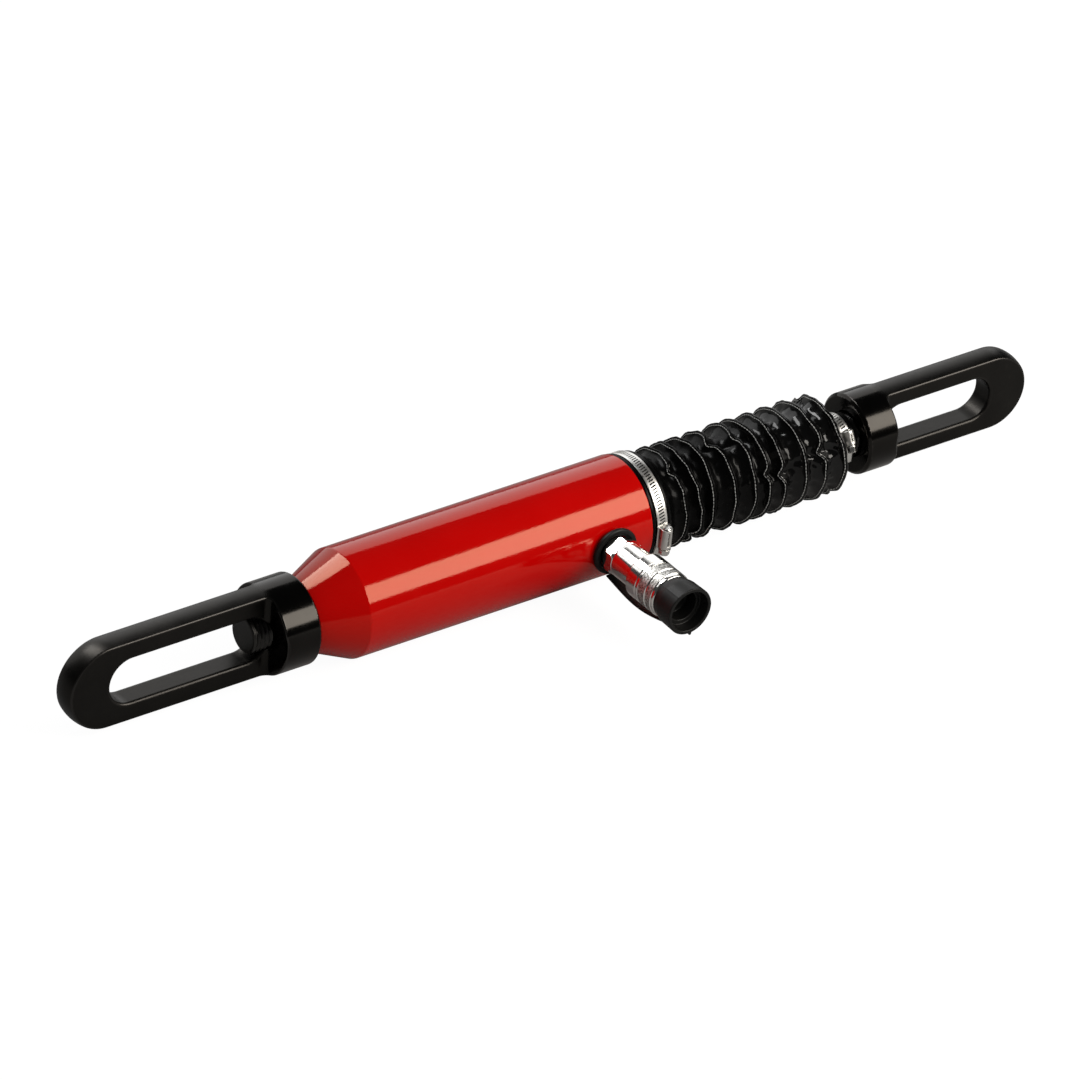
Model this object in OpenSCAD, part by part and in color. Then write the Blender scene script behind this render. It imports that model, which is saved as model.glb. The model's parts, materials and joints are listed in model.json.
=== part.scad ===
// Single-acting hydraulic pull cylinder with slotted eyes, a sewn bellows over the
// rod and a quick coupler with a rubber dust cap.
// +X runs along the cylinder's axis from the base eye to the rod eye, -Y along the
// coupler, +Z up. The origin is the centre of the base eye's pin seat.
// Oil enters on the rod side of the piston and pulls the rod in, and a coil spring
// pushes it out again, so the rod is drawn fully out.

/* [Barrel] */
// Outside diameter of the barrel
barrel_d = 85; // [80:1:90]
// Bore that the piston runs in
bore_d = 55; // [50:1:58]
// Length of the barrel with its cone
barrel_l = 291; // [285:1:300]
// Length of the cone at the base
nose_l = 38; // [30:1:42]
// Diameter of the cone's small end
nose_d = 52; // [48:1:58]
// Distance from the head end of the barrel back to the oil port
port_inset = 36; // [35:1:37]
// How far the rod travels
stroke = 140; // [100:1:142]

/* [Eyes] */
// Thickness between the flats of both eyes
eye_t = 20; // [16:1:26]
// Diameter of the base eye's round bar
base_eye_d = 71; // [66:1:74]
// Width of the base eye's slot
base_slot_w = 38; // [34:1:40]
// Length of the base eye's slot, centre to centre
base_slot_l = 101.5; // [95:0.5:110]
// Length of the base eye's round collar
base_collar_l = 32; // [28:1:36]
// Diameter of the rod eye's round bar
rod_eye_d = 63; // [58:1:66]
// Width of the rod eye's slot
rod_slot_w = 35; // [30:1:36]
// Length of the rod eye's slot, centre to centre
rod_slot_l = 65.5; // [60:0.5:80]
// Length of the rod eye's round collar
rod_collar_l = 27; // [26:1:32]

/* [Rod] */
// Diameter of the piston rod
rod_d = 32; // [28:1:34]
// Length of rod from the barrel's end to the rod eye, with the rod fully out
rod_out = 206; // [204:1:212]

/* [Bellows] */
// Number of sewn folds
folds = 10; // [8:1:11]
// Diameter over the stitching of each fold
fold_d = 72; // [68:1:76]
// Width of the hem that stands out beyond the stitching
fold_hem = 2.6; // [1.5:0.1:3]
// Inside diameter of the folds
fold_valley_d = 54; // [48:1:58]

/* [Coupler] */
// Width across the flats of the coupler's hexagon
coupler_hex = 27; // [25:1:29]
// Diameter of the coupler's plain tube
coupler_tube_d = 29.2; // [28:0.2:30]
// Diameter of the screwed collar
collar_d = 36.4; // [35:0.2:38]
// Distance from the cylinder's axis to the dust cap's rim
cap_reach = 139.5; // [136:0.5:142]
// Diameter of the dust cap's rim
cap_rim_d = 38.4; // [37:0.2:40]

/* [Hidden] */
$fn = 64;

fit = 0.05;          // radial gap of a screwed or running fit
ball_offset = 19.5;  // from the pin seat to the centre of an eye's ball end
corner_r = 5;        // fillet where an eye's flats meet its collar
slot_chamfer = 2;

// Stations along X
x_base_shoulder = base_slot_l + base_slot_w / 2 - 1;
x_nose = x_base_shoulder + base_collar_l;
x_cone = x_nose + nose_l;
x_head = x_nose + barrel_l;
x_port = x_head - port_inset;
x_spigot = x_head - 41;                // the piston's stop
x_piston = x_spigot - 31;              // spring side of the piston
x_chamber = x_piston - stroke - 50;    // floor of the bore, with room for the closed spring
x_neck = x_head + 18;                  // end of the head nut's neck
x_rod_face = x_head + rod_out;         // rod eye's inner face
rod_eye_l = rod_slot_l + rod_slot_w / 2 - 1 + rod_collar_l;
x_rod_pin = x_rod_face + rod_eye_l;    // rod eye's pin seat
x_first_fold = x_neck + 16;
x_last_fold = x_rod_face - 27;
x_small_cuff = x_rod_face - 18;
stud_d = 30;
stud_reach = 15;     // how far the stud stands out into the base eye's slot
rod_thread_d = 24;
piston_hole_d = 20;
neck_d = 77;
rear_band_r = neck_d / 2 + 2.2;
front_band_r = rod_d / 2 + 2.4;
rear_screw_tilt = 3;
front_screw_tilt = -30;
strap_turn = 268;    // where the strap runs, about the coupler's axis
strap_w = 12;
strap_bow = 6.2;
strap_t = 1.6;

// ---- Helpers ----

// Turns +Z to +X
module along_x() rotate([0, 90, 0]) children();
// Puts +Z along the coupler's axis, starting on the cylinder's axis
module along_coupler() translate([x_port, 0, 0]) rotate([90, 0, 0]) children();
// A body of revolution about X, from [station, radius] pairs
module turned(points) along_x() rotate_extrude() polygon([for (p = points) [p[1], p[0]]]);
// The same about the coupler's axis
module coupler_turned(points)
    along_coupler() rotate_extrude() polygon([for (p = points) [p[1], p[0]]]);
module ring(x0, x1, r_in, r_out) turned([[x0, r_in], [x1, r_in], [x1, r_out], [x0, r_out]]);
module coupler_ring(d0, d1, r_in, r_out)
    coupler_turned([[d0, r_in], [d1, r_in], [d1, r_out], [d0, r_out]]);

// Points of a round thread drawn as rings, from x0 to x1
function thread_points(x0, x1, r, pitch, depth) =
    let (n = floor((x1 - x0) / pitch))
    [for (i = [0 : n - 1], k = [0, 1]) [x0 + (i + (k == 0 ? 0.25 : 0.75)) * pitch, r - k * depth]];

// A coil spring from z0 to z1 about Z, with flat-lying ends, as one swept tube
module coil(z0, z1, r, wire_d, turns, steps = 20, sides = 8) {
    n = turns * steps;
    w = wire_d / 2;
    points = [for (i = [0 : n], k = [0 : sides - 1])
        let (turn = 360 * i / steps,
             z = z0 + w + (z1 - z0 - wire_d) * i / n,
             a = 360 * k / sides,
             rr = r + w * cos(a))
        [rr * cos(turn), rr * sin(turn), z + w * sin(a)]];
    faces = concat(
        [[for (k = [0 : sides - 1]) k]],
        [for (i = [0 : n - 1], k = [0 : sides - 1])
            [i * sides + k, (i + 1) * sides + k, (i + 1) * sides + (k + 1) % sides,
             i * sides + (k + 1) % sides]],
        [[for (k = [sides - 1 : -1 : 0]) n * sides + k]]);
    polyhedron(points, faces);
}

// ---- Eyes ----

// Slot through the eye's thickness, chamfered by c on both faces. Its centres are at
// x = 0 and x = l, and at the far one the chamfer runs out through the fillet.
module slot_cut(w, l, t, c) {
    r = w / 2;
    top = t / 2 + corner_r + 1;
    side = [[-t / 2 - 1, r + c], [-t / 2, r + c], [-t / 2 + c, r],
            [t / 2 - c, r], [t / 2, r + c], [t / 2 + 1, r + c]];
    rotate([90, 0, 0]) for (x = [0, l]) translate([x, 0, 0]) rotate_extrude()
        polygon([[0, -top], [r + c, -top], [r + c, -t / 2], [r, -t / 2 + c],
                 [r, t / 2 - c], [r + c, t / 2], [r + c, top], [0, top]]);
    rotate([90, 0, 90]) linear_extrude(l)
        polygon(concat(side, [for (i = [5 : -1 : 0]) [side[i][0], -side[i][1]]]));
}

// Block that mills one flat, with a fillet at the collar
module flat_cut(r, t, x_shoulder) {
    far = r + ball_offset + 5;
    linear_extrude(4 * r, center = true) {
        translate([-far, t / 2]) square([far + x_shoulder - corner_r, r]);
        translate([-far, t / 2 + corner_r]) square([far + x_shoulder, r]);
        translate([x_shoulder - corner_r, t / 2 + corner_r]) circle(corner_r);
    }
}

// Round bar with a ball end, two flats, a slot and a bored collar.
// Its pin seat is at the origin and its collar ends at x_end.
module eye(d, slot_w, slot_l, x_shoulder, x_end, hole_d, chamfer) {
    r = d / 2;
    difference() {
        intersection() {
            along_x() rotate_extrude() difference() {
                union() {
                    translate([0, -ball_offset]) circle(r, $fn = 180);
                    polygon([[0, -ball_offset], [r, -ball_offset], [r, x_end - chamfer],
                             [r - chamfer, x_end], [0, x_end]]);
                }
                translate([-2 * r, -3 * r]) square([2 * r, 3 * r + 2 * x_end]);
            }
            translate([-2 * d, -d, -d]) cube([2 * d + x_end + 1, 2 * d, 2 * d]);
        }
        flat_cut(r, eye_t, x_shoulder);
        mirror([0, 1, 0]) flat_cut(r, eye_t, x_shoulder);
        slot_cut(slot_w, slot_l, eye_t, slot_chamfer);
        translate([slot_l, 0, 0]) along_x() cylinder(d = hole_d + 2 * fit, h = x_end);
        // radial hole for the set screw, on the far side
        translate([(x_shoulder + x_end) / 2, 0, 0]) rotate([-90, 0, 0])
            cylinder(d = 8 + 2 * fit, h = r + 1);
    }
}

// Grub screw with a hexagon socket, from the thread out to just under the collar
module set_screw(x, r_in, r_out) {
    translate([x, 0, 0]) rotate([-90, 0, 0]) difference() {
        translate([0, 0, r_in]) cylinder(d = 8, h = r_out - r_in);
        translate([0, 0, r_out - 4]) cylinder(d = 4.6, h = 5, $fn = 6);
    }
}

module base_eye() color("#1b1a19")
    eye(base_eye_d, base_slot_w, base_slot_l, x_base_shoulder, x_nose, stud_d, 2);

module rod_eye() color("#1b1a19")
    translate([x_rod_pin, 0, 0]) mirror([1, 0, 0])
        eye(rod_eye_d, rod_slot_w, rod_slot_l, rod_eye_l - rod_collar_l, rod_eye_l,
            rod_thread_d, 1.5);

module base_eye_set_screw() color("#2a2a2a")
    set_screw((x_base_shoulder + x_nose) / 2, stud_d / 2 + 0.2, base_eye_d / 2 - 1.5);

module rod_eye_set_screw() color("#2a2a2a")
    set_screw(x_rod_face + rod_collar_l / 2, rod_thread_d / 2 + 0.2, rod_eye_d / 2 - 1.5);

// ---- Barrel and what is fixed in it ----

module base_stud() color("#202020") {
    x0 = x_base_shoulder - stud_reach;
    x1 = x_nose + 22;
    r = stud_d / 2;
    turned(concat([[x0, 0], [x0, r - 2.5], [x0 + 2, r - 0.5]],
                  thread_points(x0 + 2.5, x0 + 20, r, 3.5, 1.6),
                  [[x0 + 21, r], [x1 - 2, r], [x1, r - 2], [x1, 0]]));
}

module barrel() color("#d40b05") {
    r = barrel_d / 2;
    bore = bore_d / 2;
    difference() {
        turned([[x_nose, 0], [x_nose, nose_d / 2], [x_cone, r], [x_head - 1, r],
                [x_head, r - 1], [x_head, 0]]);
        // bore, and the wider thread for the head nut
        turned([[x_chamber, 0], [x_chamber, bore - 3], [x_chamber + 3, bore],
                [x_head - 22, bore], [x_head - 22, 31], [x_head + 1, 31], [x_head + 1, 0]]);
        // blind thread for the stud
        translate([x_nose - 1, 0, 0]) along_x() cylinder(d = stud_d + 2 * fit, h = 24);
        // oil port with its spot face
        along_coupler() {
            cylinder(r = 5, h = r + 1);
            translate([0, 0, 32]) cylinder(r = 8.4 + fit, h = r);
            translate([0, 0, r - 2]) cylinder(r = 13, h = 5);
        }
        // vent of the spring side
        translate([x_chamber + 16, 0, 0]) rotate([-90, 0, 0]) {
            cylinder(r = 2, h = r + 1);
            translate([0, 0, 33]) cylinder(r = 5 + fit, h = r);
        }
    }
}

module breather_plug() color("#b08d57")
    translate([x_chamber + 16, 0, 0]) rotate([-90, 0, 0]) difference() {
        translate([0, 0, 33]) cylinder(r = 5, h = 7.5);
        translate([0, 0, 38]) cylinder(d = 5, h = 4, $fn = 6);
    }

module spring_seat() color("#8a8a8a")
    ring(x_chamber, x_chamber + 3, 8, bore_d / 2 - 3.2);

module return_spring() color("#9a9a9a")
    along_x() coil(x_chamber + 3, x_piston, 21.5, 4.5, 7);

module head_nut() color("#5a5a5c") {
    r = rod_d / 2;
    turned([[x_spigot, r + 3], [x_spigot, 22], [x_spigot + 11, 22],
            [x_spigot + 11, 27.4], [x_spigot + 13, 27.4], [x_spigot + 13, 24.6],
            [x_spigot + 17, 24.6], [x_spigot + 17, 27.4], [x_spigot + 19, 27.4],
            [x_spigot + 19, 30.9], [x_head, 30.9], [x_head, neck_d / 2],
            [x_neck - 1, neck_d / 2], [x_neck, neck_d / 2 - 1],
            [x_neck, r + 4.5], [x_neck - 6, r + 4.5], [x_neck - 6, r + 1],
            [x_spigot + 33, r + 1], [x_spigot + 33, r + 5], [x_spigot + 26, r + 5],
            [x_spigot + 26, r + 1], [x_spigot + 23, r + 1], [x_spigot + 23, r + 3]]);
}

module head_o_ring() color("#111111")
    along_x() translate([0, 0, x_spigot + 15]) rotate_extrude()
        translate([26, 0]) circle(1.35);

module rod_bearing() color("#b3853f")
    ring(x_spigot + 0.5, x_spigot + 22.9, rod_d / 2 + 0.04, rod_d / 2 + 2.95);

module rod_seal() color("#2f6f3a") {
    r = rod_d / 2;
    x0 = x_spigot + 26.1;
    turned([[x0, r + 0.6], [x0 + 3, r + 2.6], [x0, r + 4.6], [x0 + 1, r + 4.9],
            [x0 + 6.8, r + 4.9], [x0 + 6.8, r + 0.05], [x0 + 1, r + 0.05]]);
}

module wiper_seal() color("#26324a") {
    r = rod_d / 2;
    turned([[x_neck - 5.9, r + 4.4], [x_neck - 5.9, r + 0.8], [x_neck + 1.5, r + 0.06],
            [x_neck + 1.5, r + 1], [x_neck, r + 4.4]]);
}

// ---- Piston and rod ----

module piston() color("#77797c") {
    r = bore_d / 2 - 0.1;
    turned([[x_piston, piston_hole_d / 2 + fit], [x_piston, r - 1.5], [x_piston + 1.5, r],
            [x_piston + 4, r], [x_piston + 4, r - 2.5], [x_piston + 12, r - 2.5],
            [x_piston + 12, r], [x_piston + 17, r], [x_piston + 17, r - 4.4],
            [x_piston + 24, r - 4.4], [x_piston + 24, r], [x_piston + 29.4, r],
            [x_spigot - 0.1, r - 1.5], [x_spigot - 0.1, piston_hole_d / 2 + fit]]);
}

module piston_seal() color("#2f6f3a")
    ring(x_piston + 17.1, x_piston + 23.9, bore_d / 2 - 4.4, bore_d / 2 - 0.04);

module piston_guide_ring() color("#6b4a2a")
    ring(x_piston + 4.1, x_piston + 11.9, bore_d / 2 - 2.5, bore_d / 2 - 0.03);

module piston_nut() color("#8a8a8a") difference() {
    translate([x_piston - 12, 0, 0]) along_x() cylinder(d = 34, h = 12, $fn = 6);
    translate([x_piston - 13, 0, 0]) along_x() cylinder(d = piston_hole_d + 2 * fit, h = 14);
}

module piston_rod() color("#c8cacc")
    turned([[x_piston - 14, 0], [x_piston - 14, 9], [x_piston - 13, piston_hole_d / 2],
            [x_spigot - 0.1, piston_hole_d / 2], [x_spigot - 0.1, rod_d / 2 - 0.5],
            [x_spigot + 0.4, rod_d / 2], [x_rod_face, rod_d / 2],
            [x_rod_face, rod_thread_d / 2], [x_rod_face + rod_collar_l - 4, rod_thread_d / 2],
            [x_rod_face + rod_collar_l - 2, rod_thread_d / 2 - 2],
            [x_rod_face + rod_collar_l - 2, 0]]);

// ---- Bellows ----

module bellows_rear_cuff() color("#0d0d0d") {
    r = neck_d / 2 + fit;
    turned([[x_head + 0.3, r], [x_neck - 2, r], [x_neck - 2, r + 2.1],
            [x_head + 3.6, r + 2.1], [x_head + 3, r + 3.8], [x_head + 0.8, r + 3.8],
            [x_head + 0.3, r + 2]]);
}

// Zigzag skin: folds sewn at their outer edges, with a hem beyond each seam
module bellows() color("#0d0d0d") {
    skin = 0.8;
    r_out = fold_d / 2;
    r_in = fold_valley_d / 2;
    pitch = (x_last_fold - x_first_fold) / (folds - 1);
    r_start = neck_d / 2 + fit;
    outside = [for (i = [0 : folds - 1], k = [0 : 4])
        let (x = x_first_fold + i * pitch)
        [[x - 0.7, r_out], [x - 0.7, r_out + fold_hem], [x + 0.7, r_out + fold_hem],
         [x + 0.7, r_out], [x + pitch / 2, r_in + skin]][k]];
    inside = [for (i = [0 : folds - 1], k = [0 : 1])
        let (x = x_last_fold - i * pitch)
        [[x, r_out - 2 * skin], [x - pitch / 2, r_in]][k]];
    n = len(outside) - 2;
    turned(concat(
        [[x_neck - 2, r_start + 2.1], [x_neck + 3, r_start - 2],
         [x_first_fold - pitch / 2, r_in + 3 + skin]],
        [for (i = [0 : n]) outside[i]],
        [[x_small_cuff, rod_d / 2 + 2.1], [x_small_cuff, rod_d / 2 + 1.1]],
        [for (i = [0 : len(inside) - 2]) inside[i]],
        [[x_first_fold - pitch / 2, r_in + 3], [x_neck + 2, r_start - 3],
         [x_neck + 0.1, r_start + 0.2], [x_neck - 2, r_start + 0.2]]));
}

module bellows_front_cuff() color("#0d0d0d")
    ring(x_small_cuff, x_rod_face - 2, rod_d / 2 + fit, rod_d / 2 + 2.1);

// ---- Worm-drive clamps, with their screws on the -Y side ----

module clamp_band(x, r, w) color("#c9c9c6") ring(x - w / 2, x + w / 2, r, r + 0.8);

// Places a clamp's screw: the origin at the screw's centre, Z along the screw
module at_screw(x, r, tilt) translate([x, 0, 0]) rotate([tilt, 0, 0])
    translate([0, -r, 0]) children();

module clamp_housing(x, r, tilt, w, l, screw_r) color("#d5d5d2") {
    centre = r + 0.8 + screw_r + 0.6;
    difference() {
        at_screw(x, centre, tilt) difference() {
            linear_extrude(l, center = true) {
                circle(screw_r + 1.3);
                translate([-screw_r - 1.3, 0]) square([2 * screw_r + 2.6, screw_r + 0.9]);
                translate([-w / 2 - 0.8, screw_r - 0.3]) square([w + 1.6, 2.2]);
            }
            cylinder(r = screw_r + 0.25, h = l + 2, center = true);
        }
        ring(x - w, x + w, r - 5, r + 0.82);
    }
}

module clamp_screw(x, r, tilt, l, screw_r) color("#bfbfbc") {
    at_screw(x, r + 0.8 + screw_r + 0.6, tilt) difference() {
        union() {
            rotate_extrude() polygon(concat(
                [[0, -l / 2 - 1], [screw_r - 0.4, -l / 2 - 1]],
                [for (p = thread_points(-l / 2, l / 2, screw_r, 1.6, 0.6)) [p[1], p[0]]],
                [[screw_r - 0.4, l / 2 + 1], [0, l / 2 + 1]]));
            translate([0, 0, -l / 2 - 6]) cylinder(r = screw_r * 1.25, h = 5, $fn = 6);
            translate([0, 0, -l / 2 - 1.5]) cylinder(r = screw_r * 1.45, h = 0.9);
        }
        translate([0, 0, -l / 2 - 6.5]) cube([10, 1, 3.4], center = true);
    }
}

x_rear_clamp = x_head + 9.3;
x_front_clamp = x_rod_face - 11.5;

module rear_clamp_band() clamp_band(x_rear_clamp, rear_band_r, 9);
module rear_clamp_housing()
    clamp_housing(x_rear_clamp, rear_band_r, rear_screw_tilt, 9, 17, 3.4);
module rear_clamp_screw() clamp_screw(x_rear_clamp, rear_band_r, rear_screw_tilt, 17, 3.4);
module front_clamp_band() clamp_band(x_front_clamp, front_band_r, 8);
module front_clamp_housing()
    clamp_housing(x_front_clamp, front_band_r, front_screw_tilt, 8, 11, 2.8);
module front_clamp_screw()
    clamp_screw(x_front_clamp, front_band_r, front_screw_tilt, 11, 2.8);

// ---- Coupler. Its stations are distances from the cylinder's axis ----

d_spot = barrel_d / 2 - 2;
d_ring = barrel_d / 2 + 0.2;
d_hex = d_ring + 5.6;
d_tube = d_hex + 10.8;
d_collar = d_tube + 22.7;
d_snap = d_collar + 27.7;
d_mouth = d_collar + 31.7;
d_collar_end = d_collar + 34.7;
d_seat = d_mouth - 28.5;
d_chamber = d_seat - 27;

module port_washer() color("#a87437")
    coupler_ring(d_spot, d_spot + 1.5, 8.7, 12.6);

module port_nipple() color("#c4c6c8")
    coupler_turned([[32.2, 4.4], [32.2, 7.8], [33, 8.4], [d_chamber - 5, 8.4],
                    [d_chamber - 4, 7.6], [d_chamber - 4, 4.4]]);

module coupler_body() color("#dcdcda") difference() {
    union() {
        along_coupler() translate([0, 0, d_hex])
            cylinder(r = coupler_hex / 2 / cos(30), h = d_tube - d_hex, $fn = 6);
        coupler_turned([[d_spot + 1.5, 0], [d_spot + 1.5, 12.6], [d_hex + 1, 12.6],
                        [d_hex + 1, coupler_hex / 2 - 0.6],
                        [d_tube - 0.5, coupler_hex / 2 - 0.6], [d_tube, coupler_tube_d / 2 - 0.8],
                        [d_tube + 0.8, coupler_tube_d / 2],
                        [d_collar - 0.8, coupler_tube_d / 2], [d_collar, 13],
                        [d_snap, 13], [d_snap, 12.3], [d_snap + 1.6, 12.3], [d_snap + 1.6, 13],
                        [d_mouth - 0.5, 13], [d_mouth, 12.5], [d_mouth, 0]]);
    }
    coupler_turned([[d_spot, 0], [d_spot, 8.4 + fit], [d_chamber - 3.5, 8.4 + fit],
                    [d_chamber - 3.5, 4.5], [d_chamber, 4.5], [d_chamber, 7],
                    [d_seat - 2, 7], [d_seat, 5], [d_seat + 3, 5], [d_seat + 3, 9.5],
                    [d_mouth - 11.5, 9.5], [d_mouth - 11.5, 11.2], [d_mouth - 8.4, 11.2],
                    [d_mouth - 8.4, 9.5], [d_mouth - 1, 9.5], [d_mouth + 1, 11],
                    [d_mouth + 1, 0]]);
}

module coupler_collar() color("#d2d2cf") {
    r = collar_d / 2;
    coupler_turned([[d_collar + 0.2, 13.1], [d_collar + 0.2, r - 1.2], [d_collar + 1.4, r],
                    [d_collar + 11.8, r], [d_collar + 12.1, r - 0.4], [d_collar + 12.4, r - 0.4],
                    [d_collar + 12.7, r], [d_collar + 15.2, r], [d_collar + 15.5, r - 0.7],
                    [d_collar + 16, r - 0.7], [d_collar + 16.3, r], [d_collar + 23.6, r],
                    [d_collar + 24, r - 0.7], [d_collar + 25.4, r - 0.7], [d_collar + 25.8, r],
                    [d_collar + 31, r], [d_collar + 31.4, r - 0.6], [d_collar_end - 0.6, r - 0.6],
                    [d_collar_end, r - 1.2], [d_collar_end, 14], [d_collar_end - 2, 13.1],
                    [d_snap + 1.7, 13.1], [d_snap + 1.7, 14.4],
                    [d_snap - 0.1, 14.4], [d_snap - 0.1, 13.1]]);
}

module collar_snap_ring() color("#8f8f8f") difference() {
    coupler_ring(d_snap + 0.1, d_snap + 1.5, 12.4, 14.3);
    along_coupler() translate([-1.5, 0, 0]) cube([3, 20, 200]);
}

module coupler_poppet() color("#b8b8b8")
    coupler_turned([[d_seat - 16, 0], [d_seat - 16, 3], [d_seat - 8, 3], [d_seat - 8, 6.9],
                    [d_seat - 2.3, 6.9], [d_seat - 0.2, 4.8], [d_seat + 5, 4.6],
                    [d_seat + 6, 3.6], [d_seat + 6, 0]]);

module poppet_spring() color("#9a9a9a")
    along_coupler() coil(d_chamber + 0.05, d_seat - 8.05, 5, 1.1, 6, steps = 12, sides = 6);

module coupler_o_ring() color("#111111")
    along_coupler() translate([0, 0, d_mouth - 9.95]) rotate_extrude()
        translate([9.85, 0]) circle(1.3);

// ---- Rubber dust cap with its strap ----

module dust_cap_ring() color("#161616")
    coupler_turned([[d_ring, 13.2], [d_ring, 18.2], [d_ring + 0.8, 18.9],
                    [d_ring + 3, 18.9], [d_ring + 4, 17.9], [d_ring + 4, 14.2],
                    [d_ring + 3.2, 13.2]]);

module dust_cap() color("#161616") {
    r = cap_rim_d / 2;
    d0 = d_collar_end + 0.2;
    coupler_turned([[d0 - 15, 0], [d0 - 15, 7.2], [d0 - 14, 8.2], [d0, 8.2],
                    [d0, collar_d / 2 - 1.5], [d0 + 0.8, collar_d / 2 - 0.7],
                    [cap_reach - 1, r], [cap_reach, r - 0.8], [cap_reach, r - 2.6],
                    [cap_reach - 0.6, r - 3], [cap_reach - 9, r - 3.6],
                    [cap_reach - 9.4, 12.4], [cap_reach - 10, 11.8],
                    [d0 + 2.2, 11.8], [d0 + 2.2, 0]]);
}

// Strip from the ring to the cap's skirt, bowed away from the coupler
module dust_cap_strap() color("#161616") {
    d0 = d_ring + 0.9;
    d1 = cap_reach - 8.5;
    n = 20;
    r0 = 18.95;
    r1 = 18.7;
    lands = d_collar_end + 2;
    line = [for (i = [0 : n]) let (s = i / n, d = d0 + (d1 - d0) * s)
        [r0 + (r1 - r0) * s + strap_bow * sin(180 * min(1, (d - d0) / (lands - d0))), d]];
    along_coupler() rotate([0, 0, strap_turn]) rotate([90, 0, 0])
        linear_extrude(strap_w, center = true)
            polygon(concat(line, [for (i = [n : -1 : 0]) [line[i][0] + strap_t, line[i][1]]]));
}

base_eye();
base_eye_set_screw();
base_stud();
barrel();
breather_plug();
spring_seat();
return_spring();
piston();
piston_seal();
piston_guide_ring();
piston_nut();
piston_rod();
head_nut();
head_o_ring();
rod_bearing();
rod_seal();
wiper_seal();
rod_eye();
rod_eye_set_screw();
bellows_rear_cuff();
bellows();
bellows_front_cuff();
rear_clamp_band();
rear_clamp_housing();
rear_clamp_screw();
front_clamp_band();
front_clamp_housing();
front_clamp_screw();
port_washer();
port_nipple();
coupler_body();
coupler_collar();
collar_snap_ring();
coupler_poppet();
poppet_spring();
coupler_o_ring();
dust_cap_ring();
dust_cap_strap();
dust_cap();
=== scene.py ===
# Looks of a hydraulic pull cylinder: two slotted eyes, a painted barrel, a sewn bellows,
# two worm-drive clamps and a quick coupler under a rubber dust cap.
# Lengths in the helpers are in millimetres; meshes are written in metres.
import json
import math

import bmesh
import bpy
import numpy as np
from mathutils import Matrix, Vector

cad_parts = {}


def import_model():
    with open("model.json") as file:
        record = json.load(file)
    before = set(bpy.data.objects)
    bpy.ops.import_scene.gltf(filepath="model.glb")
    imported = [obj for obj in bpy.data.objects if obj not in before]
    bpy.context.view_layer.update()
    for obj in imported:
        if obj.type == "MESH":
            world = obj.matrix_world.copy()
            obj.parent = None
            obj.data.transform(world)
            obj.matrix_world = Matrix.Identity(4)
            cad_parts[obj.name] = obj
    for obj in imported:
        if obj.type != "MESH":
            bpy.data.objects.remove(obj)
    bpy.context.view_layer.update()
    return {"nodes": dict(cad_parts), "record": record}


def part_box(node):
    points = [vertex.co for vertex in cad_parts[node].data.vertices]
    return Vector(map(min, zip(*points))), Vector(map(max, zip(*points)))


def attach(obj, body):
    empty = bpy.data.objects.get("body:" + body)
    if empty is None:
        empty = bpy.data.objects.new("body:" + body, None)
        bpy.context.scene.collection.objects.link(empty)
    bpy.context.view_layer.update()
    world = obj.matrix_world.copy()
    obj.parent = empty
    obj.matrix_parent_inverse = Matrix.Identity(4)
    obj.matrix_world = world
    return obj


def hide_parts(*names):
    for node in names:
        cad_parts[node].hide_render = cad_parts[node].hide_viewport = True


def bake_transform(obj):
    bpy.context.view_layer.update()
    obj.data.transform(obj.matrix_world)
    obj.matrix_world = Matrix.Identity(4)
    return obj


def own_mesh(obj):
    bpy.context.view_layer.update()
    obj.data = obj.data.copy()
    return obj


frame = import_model()

MM = 0.001
TAU = 2 * math.pi


def corner(node):
    """A CAD node's lowest and highest corner, in mm."""
    low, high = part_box(node)
    return [v / MM for v in low], [v / MM for v in high]


# ---- Stations, all taken from the frame, in mm ----
X_NOSE, X_HEAD = corner("barrel")[0][0], corner("barrel")[1][0]
X_PORT = (corner("dust_cap_ring")[0][0] + corner("dust_cap_ring")[1][0]) / 2
X_ROD_FACE = corner("rod_eye")[0][0]
X_BELLOWS, X_SMALL_CUFF = corner("bellows")[0][0], corner("bellows")[1][0]
X_NECK = corner("head_nut")[1][0]
BARREL_R = 42.5
NECK_R = 38.5
ROD_R = 16.0


# ---- Meshes ----

def new_object(name, verts, faces, material, normals=None):
    """An object from vertices in mm and polygons, smooth but sharp at steep edges."""
    mesh = bpy.data.meshes.new(name)
    mesh.from_pydata((np.asarray(verts, float) * MM).tolist(), [], faces)
    mesh.validate()
    mesh.shade_smooth()
    if normals is None:
        mesh.set_sharp_from_angle(angle=math.radians(38))
    else:
        mesh.normals_split_custom_set_from_vertices(normals.tolist())
    obj = bpy.data.objects.new(name, mesh)
    bpy.context.scene.collection.objects.link(obj)
    mesh.materials.append(material)
    return obj


def rounded(points, steps=5):
    """A profile of (station, radius[, corner radius]) with each corner turned into an arc."""
    out = []
    last = len(points) - 1
    for i, p in enumerate(points):
        here = np.array(p[:2], float)
        if len(p) < 3 or i in (0, last):
            out.append(here)
            continue
        before = np.array(points[i - 1][:2], float) - here
        after = np.array(points[i + 1][:2], float) - here
        reach = min(p[2], 0.49 * np.linalg.norm(before), 0.49 * np.linalg.norm(after))
        a = here + before / np.linalg.norm(before) * reach
        b = here + after / np.linalg.norm(after) * reach
        for k in range(steps + 1):
            t = k / steps
            out.append((1 - t) ** 2 * a + 2 * t * (1 - t) * here + t * t * b)
    return out


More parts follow.
